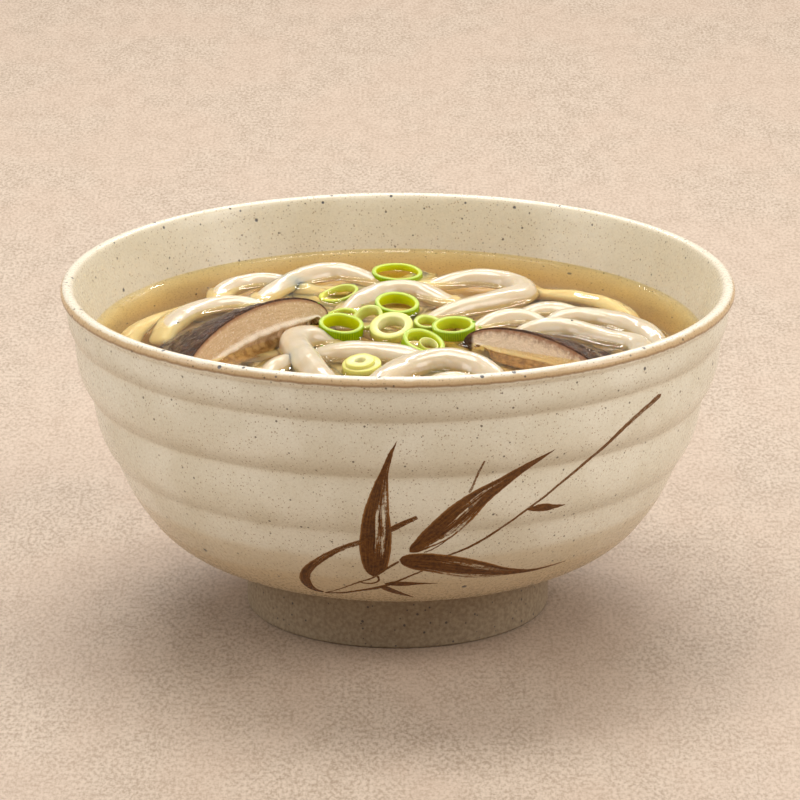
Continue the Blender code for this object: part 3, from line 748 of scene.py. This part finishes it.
sparkle = shiitake.clouds(0.00045, detail=2)
speckle = shiitake.clouds(0.0012, detail=4, roughness=0.7)
flesh = shiitake.mix((speckle * 0.35 + fibres * 0.65).rise(0.34, 0.66), FLESH_TAN, FLESH_PALE)
# The right half's flesh is paler and pinker: partly its own colour, partly painted light on a cut face that
# turns away from the strong right lamp
right_half_lit = shiitake.axis("X").rise(0, MM)
flesh = shiitake.mix(right_half_lit * 0.8, flesh, FLESH_PINK_LIT)
# Painted glints: tiny pale specks over the flesh stand in for wet highlights
flesh = shiitake.mix(sparkle.rise(0.60, 0.67) * 0.6, flesh, PALE_SEAM_AND_GLINT)
flesh = shiitake.mix((browning * 0.8 + speckle * 1.6 - 0.85).rise(0.0, 0.75) * 0.8, flesh, FLESH_BROWN)
flesh = shiitake.mix(across.fall(0.05, 0.12) * 0.6, flesh, UNDER_SKIN)
# The pale ragged seam between flesh and gills, partly a painted highlight along its wet ridge
seam_line = across + fibres * 0.06 - 0.03
seam_band = seam_line.rise(SEAM - 0.12, SEAM - 0.05) * seam_line.fall(SEAM, SEAM + 0.03)
flesh = shiitake.mix(seam_band * 0.9, flesh, PALE_SEAM_AND_GLINT)
folds = shiitake.clouds(1.0, detail=3, place=chart, stretch=(16, 5, 30))
gills = shiitake.mix((folds * 0.7 + speckle * 0.3).rise(0.36, 0.62), GILL_BROWN, GILL_TAN)
creases = shiitake.clouds(1.0, detail=4, roughness=0.6, place=chart, stretch=(16, 1, 5))
dark = shiitake.mix((creases * 0.6 + speckle * 0.4).rise(0.42, 0.72), SKIN_BLACK, SKIN_BROWN)
color = shiitake.mix(gill_zone, flesh, gills)
sideways = shiitake.axis("X")
dark_curl = sideways.fall(CURL_END, CURL_END + MM) * sideways.rise(CURL_START, CURL_START + MM)
skin = skin_zone + across.fall(0.028, 0.05) + dark_curl
shiitake.paint("Base Color", shiitake.mix(skin, color, dark))
shiitake.paint("Roughness", speckle * 0.2 + sparkle * 0.15 + 0.06)
shiitake.bump(speckle * 0.6 + creases * 0.2 + sparkle * 0.2, 0.0006)

for number, (name, node, radius, dome, place, turn, rise, lean, depth, brown) in enumerate(CAPS):
    skin_side, gill_side = cap_outlines(radius, dome, depth, CUT_COLUMNS)
    mesh = bmesh.new()
    zone = mesh.verts.layers.float_color.new("zone")
    chart_layer = mesh.verts.layers.float_vector.new("chart")
    made = bmesh.ops.create_grid(mesh, x_segments=CUT_COLUMNS, y_segments=CUT_ROWS, size=0.5, calc_uvs=False)
    rims = ([], [])
    for vert in made["verts"]:
        column = round((vert.co.x + 0.5) * CUT_COLUMNS)
        row = round((vert.co.y + 0.5) * CUT_ROWS) / CUT_ROWS
        share = 0.55 * row + 0.45 * row * row
        vert.co = skin_side[column].lerp(gill_side[column], share)
        vert[chart_layer] = (column / CUT_COLUMNS, share, 0)
        under = max(share - SEAM, 0) / (1 - SEAM)
        vert[zone] = (0, max(1 - share / brown, 0), min(under * 6, 1), 1)
        if row in (0, 1):
            rims[round(row)].append(vert)
    rim_edges = [e for e in mesh.edges if any(all(v in rim for v in e.verts) for rim in rims)]
    bmesh.ops.mirror(mesh, geom=mesh.verts[:] + mesh.edges[:] + mesh.faces[:], matrix=Matrix.Identity(4),
                     merge_dist=1e-4, axis="X")
    before = set(mesh.verts)
    bmesh.ops.spin(mesh, geom=rims[0] + rims[1] + rim_edges, axis=(0, 0, 1), cent=(0, 0, 0), angle=math.pi,
                   steps=CAP_STEPS, use_duplicate=False)
    for vert in mesh.verts:
        if vert not in before:
            vert[zone] = (1, 0, 0, 1) if vert[chart_layer].y < 0.5 else (0, 0, 1, 1)
            vert[chart_layer].z = math.atan2(vert.co.y, vert.co.x)
    for vert in rims[0]:
        vert[zone] = (1, 0, 0, 1)
    bmesh.ops.remove_doubles(mesh, verts=mesh.verts, dist=DOUBLES)
    bmesh.ops.recalc_face_normals(mesh, faces=mesh.faces)
    mesh.normal_update()
    shift = Vector((number * 31.0, 0, 0))
    for vert in mesh.verts:
        u, share, angle = vert[chart_layer]
        spot = vert.co + shift
        coarse = noise.noise(spot * 0.35)
        fine = noise.noise(spot * 1.6)
        if vert.co.y > 0.05 and vert[zone].x > 0.5:
            crease = noise.noise(Vector((u * 14, angle * 4, number)))
            relief = SKIN_SWELL * coarse + SKIN_GRAIN * fine + SKIN_CREASE * crease - SKIN_CREASE
            vert.co += vert.normal * relief
        elif vert.co.y > 0.05:
            blade = (-1) ** round(angle / math.pi * CAP_STEPS)
            vert.co += vert.normal * (GILL_BLADE * blade * min(u * 2, 1) + GILL_SWELL * coarse)
        elif 0 < share < 1:
            wave = 0.03 * noise.noise(Vector((vert.co.x * 0.35, number, 0)))
            ridge = math.exp(-((share - SEAM + wave) / SEAM_WIDTH) ** 2) * (0.5 + 0.5 * abs(fine))
            under = min(max((share - SEAM + wave) / 0.08, 0), 1)
            blade = noise.noise(Vector((vert.co.x * 0.5, share * 9, number * 5)))
            deep = under * (0.7 + 0.6 * blade) * math.sin(math.pi * min(max((1 - share) / 0.12, 0), 0.5))
            vert.co.y += CUT_GRAIN * fine - SEAM_LIFT * ridge + deep
    bmesh.ops.scale(mesh, vec=(MM, MM, MM), verts=mesh.verts)
    stand = (Matrix.Translation(Vector(place) * MM) @ Matrix.Rotation(math.radians(turn), 4, "Z")
             @ Matrix.Rotation(math.radians(-rise), 4, "Y") @ Matrix.Rotation(math.radians(-lean), 4, "X"))
    bmesh.ops.transform(mesh, matrix=stand, verts=mesh.verts)
    new_piece(name, mesh, shiitake, "shiitake", node)

# The spring onion: thin rings cut across the green, standing in and on the soup. Each has fine ribs
# down its outside, pale cut edges, a yellow-green inside, and some a thin loose inner layer.
RINGS = [
    # diameter, wall, height, x, y, z above soup, tilt forward, tilt sideways, paleness,
    # then an inner layer: its diameter, wall, lift and shift sideways
    (12.9, 1.3, 2.0, -0.2, 51.6, 0.6, 3, 3, 0.0, None),
    (9.8, 1.0, 2.2, -14.6, 33.4, 0.2, 8, -14, 0.3, None),
    (10.8, 1.3, 3.0, -0.2, 21.6, 0.9, 13, 3, 0.0, None),
    (11.0, 1.3, 3.4, -13.9, 0.0, 1.7, 10, 3, 0.0, None),
    (8.4, 1.1, 1.6, -13.6, 15.7, -0.2, 10, -8, 0.2, None),
    (8.4, 1.2, 3.0, -7.2, 8.4, 1.2, 26, -18, 0.5, None),
    (10.8, 2.5, 3.0, -1.5, -0.2, 1.6, 20, -4, 0.9, None),
    (6.6, 1.3, 2.6, 7.2, 6.4, 0.6, 14, 4, 0.25, None),
    (10.4, 1.4, 3.2, 13.8, 0.2, 1.3, 8, -3, 0.05, None),
    (10.4, 1.4, 3.2, 6.1, -13.5, 1.4, 17, 14, 0.05, (5.0, 0.4, -0.3, 1.3)),
    (9.6, 3.4, 3.6, -8.5, -30.5, 0.6, 8, -5, 1.0, (7.4, 2.3, 1.0, -0.3)),
]
RING_SEGMENTS = 168
RIB_COUNT = 56
RIB_DEPTH = 0.014
OVALNESS = 0.03
UNEVENNESS = 0.15
CUT_THINNING = 0.82
CUT_ROUNDING = 0.16
LAYER_PALENESS = 0.75
LAYER_HEIGHT = 0.9

GREEN_DEEP = (0.16, 0.31, 0.0, 1)
GREEN_BRIGHT = (0.40, 0.54, 0.0, 1)
GREEN_INSIDE = (0.60, 0.66, 0.004, 1)
PALE_OUTSIDE = (0.70, 0.66, 0.18, 1)
PALE_INSIDE = (0.80, 0.76, 0.42, 1)
CUT_EDGE = (0.62, 0.74, 0.22, 1)
onion = Finish("spring_onion", Roughness=0.26, IOR=1.38, Specular_IOR_Level=0.25,
               Subsurface_Weight=0.3, Subsurface_Radius=(0.7, 1.0, 0.15), Subsurface_Scale=0.0012)
paleness, inward, ribs = onion.channels(onion.attribute("tint"))
edge = onion.attribute("edge", "Fac")
green = onion.mix(ribs, GREEN_DEEP, GREEN_BRIGHT)
green = onion.mix(inward.rise(0.3, 1.0), green, GREEN_INSIDE)
pale = onion.mix(inward, PALE_OUTSIDE, PALE_INSIDE)
green = onion.mix(edge.rise(0.8, 1.0) * 0.5, green, CUT_EDGE)
onion.paint("Base Color", onion.mix(paleness, green, pale))
onion.bump(onion.clouds(0.0006, detail=2), 0.00006)


def onion_tube(mesh, diameter, wall, height, lift, shift, paleness, number):
    """One short tube of onion skin with soft cut edges and ribs down its outside."""
    outer, half = diameter / 2, height / 2
    inner = outer - wall
    soft = min(CUT_ROUNDING, wall * 0.4)
    section = [(outer - soft, -half), (outer, -half + soft), (outer, -half / 3), (outer, half / 3),
               (outer, half - soft), (outer - soft, half), (inner + soft, half), (inner, half - soft),
               (inner, 0), (inner, -half + soft), (inner + soft, -half)]
    ring = [mesh.verts.new((r, 0, h + lift)) for r, h in section]
    edges = [mesh.edges.new(pair) for pair in zip(ring, ring[1:] + ring[:1])]
    for vert, (r, h) in zip(ring, section):
        share = (outer - r) / wall
        vert[tint_layer] = (paleness, share, 0, 1)
        vert[edge_layer] = abs(h) > half - soft * 1.1
    before = set(mesh.verts) - set(ring)
    bmesh.ops.spin(mesh, geom=ring + edges, axis=(0, 0, 1), cent=(0, 0, 0), angle=math.tau,
                   steps=RING_SEGMENTS, use_merge=True, use_duplicate=False)
    for vert in mesh.verts:
        if vert in before:
            continue
        angle = math.atan2(vert.co.y, vert.co.x)
        share = vert[tint_layer].y
        rib = 0.5 + 0.5 * math.sin(angle * RIB_COUNT + 2 * noise.noise(Vector((angle * 3, number, 0))))
        vert[tint_layer].z = rib * (1 - share)
        oval = 1 + OVALNESS * math.sin(2 * angle + number)
        vert.co.xy *= oval - RIB_DEPTH * rib * (share < 0.1)
        vert.co.x += shift
        spot = Vector((math.cos(angle) * 1.2, math.sin(angle) * 1.2, number * 3))
        vert.co.z += UNEVENNESS * noise.noise(spot)


for number, (diameter, wall, height, x, y, z, forward, sideways, paleness, layer) in enumerate(RINGS):
    mesh = bmesh.new()
    tint_layer = mesh.verts.layers.float_color.new("tint")
    edge_layer = mesh.verts.layers.float.new("edge")
    onion_tube(mesh, diameter, wall * CUT_THINNING, height, 0, 0, paleness, number)
    if layer:
        layer_diameter, layer_wall, lift, shift = layer
        onion_tube(mesh, layer_diameter, layer_wall, height * LAYER_HEIGHT, lift, shift,
                   max(paleness, LAYER_PALENESS), number + 20)
    bmesh.ops.remove_doubles(mesh, verts=mesh.verts, dist=DOUBLES)
    bmesh.ops.recalc_face_normals(mesh, faces=mesh.faces)
    bmesh.ops.scale(mesh, vec=(MM, MM, MM), verts=mesh.verts)
    stand = (Matrix.Translation((x * MM, y * MM, SOUP_LEVEL + z * MM))
             @ Matrix.Rotation(math.radians(forward), 4, "X")
             @ Matrix.Rotation(math.radians(sideways), 4, "Y"))
    bmesh.ops.transform(mesh, matrix=stand, verts=mesh.verts)
    new_piece(f"spring_onion_ring_{number + 1:02d}", mesh, onion, "spring_onion",
              f"spring_onion_{number + 1:02d}")

# The broth: clear golden soup to its level, which climbs a little where it wets the bowl, the
# noodles and the toppings. Its sides reach just into the bowl's wall, so that no gap shows there. It
# tints light at its surface, and more with every millimetre of depth.
SOUP_GRID = 0.55 * MM
SOUP_OVERLAP = 0.35 * MM
WALL_CLIMB = 0.95 * MM
WALL_REACH = 0.5 * MM
WET_CLIMB = 0.9 * MM
CLIMB_REACH = 0.75 * MM
NEAR = 6 * MM
SIDE_LEVELS = (64, 56, 46, 36, 26, 19)

spots = []
sides = []
for piece in scene.objects:
    if piece.name.startswith(("udon_noodles", "shiitake_half", "spring_onion_ring")):
        start = len(spots)
        spots += [v.co.copy() for v in piece.data.vertices]
        sides += [[start + k for k in p.vertices] for p in piece.data.polygons]
wet_things = BVHTree.FromPolygons(spots, sides)
soup_radius = radius_at(INSIDE, SOUP_LEVEL) + SOUP_OVERLAP
soup_mesh = bmesh.new()
cells = round(2 * (soup_radius + SOUP_GRID) / SOUP_GRID)
bmesh.ops.create_grid(soup_mesh, x_segments=cells, y_segments=cells, size=cells * SOUP_GRID / 2)
bmesh.ops.delete(soup_mesh, geom=[f for f in soup_mesh.faces
                                  if max(v.co.xy.length for v in f.verts) > soup_radius], context="FACES")
for vert in soup_mesh.verts:
    if vert.is_boundary:
        vert.co.xy *= soup_radius / vert.co.xy.length
for vert in soup_mesh.verts:
    spot = Vector((vert.co.x, vert.co.y, SOUP_LEVEL))
    gap = soup_radius - SOUP_OVERLAP - spot.xy.length
    climb = WALL_CLIMB * math.exp(-max(gap, 0) / WALL_REACH)
    found = wet_things.find_nearest(spot, NEAR)
    if found[0]:
        climb = max(climb, WET_CLIMB * math.exp(-found[3] / CLIMB_REACH))
    vert.co.z = SOUP_LEVEL + climb
border = [e for e in soup_mesh.edges if e.is_boundary]
for level in SIDE_LEVELS:
    radius = radius_at(INSIDE, level * MM) + SOUP_OVERLAP
    made = bmesh.ops.extrude_edge_only(soup_mesh, edges=border)
    border = [g for g in made["geom"] if isinstance(g, bmesh.types.BMEdge)]
    for vert in {v for e in border for v in e.verts}:
        vert.co.xy *= radius / vert.co.xy.length
        vert.co.z = level * MM - SOUP_OVERLAP
bmesh.ops.contextual_create(soup_mesh, geom=border)
bmesh.ops.recalc_face_normals(soup_mesh, faces=soup_mesh.faces)

BROTH_TINT = (0.88, 0.68, 0.08, 1)
BROTH_STRENGTH = 50.0
BROTH_SURFACE = (1.0, 0.94, 0.62, 1)
BROTH_SHADE = (1.0, 0.96, 0.76, 1)
broth = Finish("clear_broth", Roughness=0.0, IOR=1.333, Transmission_Weight=1.0, Base_Color=BROTH_SURFACE)
absorb = broth.node("ShaderNodeVolumeAbsorption", None, Color=BROTH_TINT, Density=BROTH_STRENGTH)
output = broth.tree.nodes["Material Output"]
broth.tree.links.new(absorb.link, output.inputs["Volume"])
shadow = broth.node("ShaderNodeLightPath", output="Is Shadow Ray")
clear = broth.node("ShaderNodeBsdfTransparent", None, BROTH_SHADE)
mixed = broth.node("ShaderNodeMixShader", None, shadow, Socket(broth, broth.shader.outputs[0]), clear)
broth.tree.links.new(mixed.link, output.inputs["Surface"])
new_piece("clear_broth", soup_mesh, broth, "clear_broth", "broth")

# The crumbs: bits of green off the knife and a few dark specks of seasoning. Each is a thin flake
# that was dropped from above and lies on whatever is under it, or floats on the soup.
GREEN_CRUMBS = [
    # x, y, width, length, turn, in millimetres and degrees
    (20.3, 5.8, 0.8, 1.5, 20), (18.8, 0.6, 0.7, 1.1, 70), (-18.5, -9.5, 0.6, 1.3, -30),
    (-4.5, 14.5, 0.6, 1.0, 15), (2.2, -8.5, 0.7, 1.6, 50), (-19.5, 8.0, 0.7, 1.2, 0),
    (10.5, 9.5, 0.6, 1.1, -50), (-9.0, 24.5, 0.6, 1.2, 80),
]
DARK_CRUMBS = [
    (-9.4, 16.2, 0.9, 1.1, 0), (-1.6, -7.9, 0.8, 1.0, 40), (-5.0, -8.7, 0.5, 0.6, 0),
    (-6.7, -25.4, 0.8, 1.0, 10), (56.5, 24.1, 0.5, 0.7, 0), (42.9, 3.2, 0.6, 0.8, 30),
    (-54.3, 9.2, 0.7, 0.8, 0), (18.9, 13.6, 0.5, 0.6, 0), (-20.0, 26.8, 0.5, 0.7, 60),
    (-50.8, 35.8, 0.5, 0.6, 0), (-48.0, 41.2, 0.4, 0.5, 0),
]
CRUMB_THICKNESS = 0.35
DROP_HEIGHT = 0.1
FLOAT_HEIGHT = 0.15 * MM
DOWN = Vector((0, 0, -1))
SEASONING = (0.035, 0.024, 0.012, 1)
seasoning = Finish("dark_seasoning", Roughness=0.35, Base_Color=SEASONING)
for name, crumbs, finish, slot in (("onion_crumbs", GREEN_CRUMBS, onion, "spring_onion"),
                                   ("dark_crumbs", DARK_CRUMBS, seasoning, "shiitake")):
    mesh = bmesh.new()
    for x, y, wide, long, turn in crumbs:
        under = wet_things.ray_cast(Vector((x * MM, y * MM, DROP_HEIGHT)), DOWN)[0]
        z = max(under.z if under else 0, SOUP_LEVEL + FLOAT_HEIGHT)
        made = bmesh.ops.create_icosphere(mesh, subdivisions=2, radius=0.5)
        bmesh.ops.scale(mesh, vec=(wide * MM, long * MM, CRUMB_THICKNESS * MM), verts=made["verts"])
        stand = Matrix.Translation((x * MM, y * MM, z)) @ Matrix.Rotation(math.radians(turn), 4, "Z")
        bmesh.ops.transform(mesh, matrix=stand, verts=made["verts"])
    new_piece(name, mesh, finish, slot)
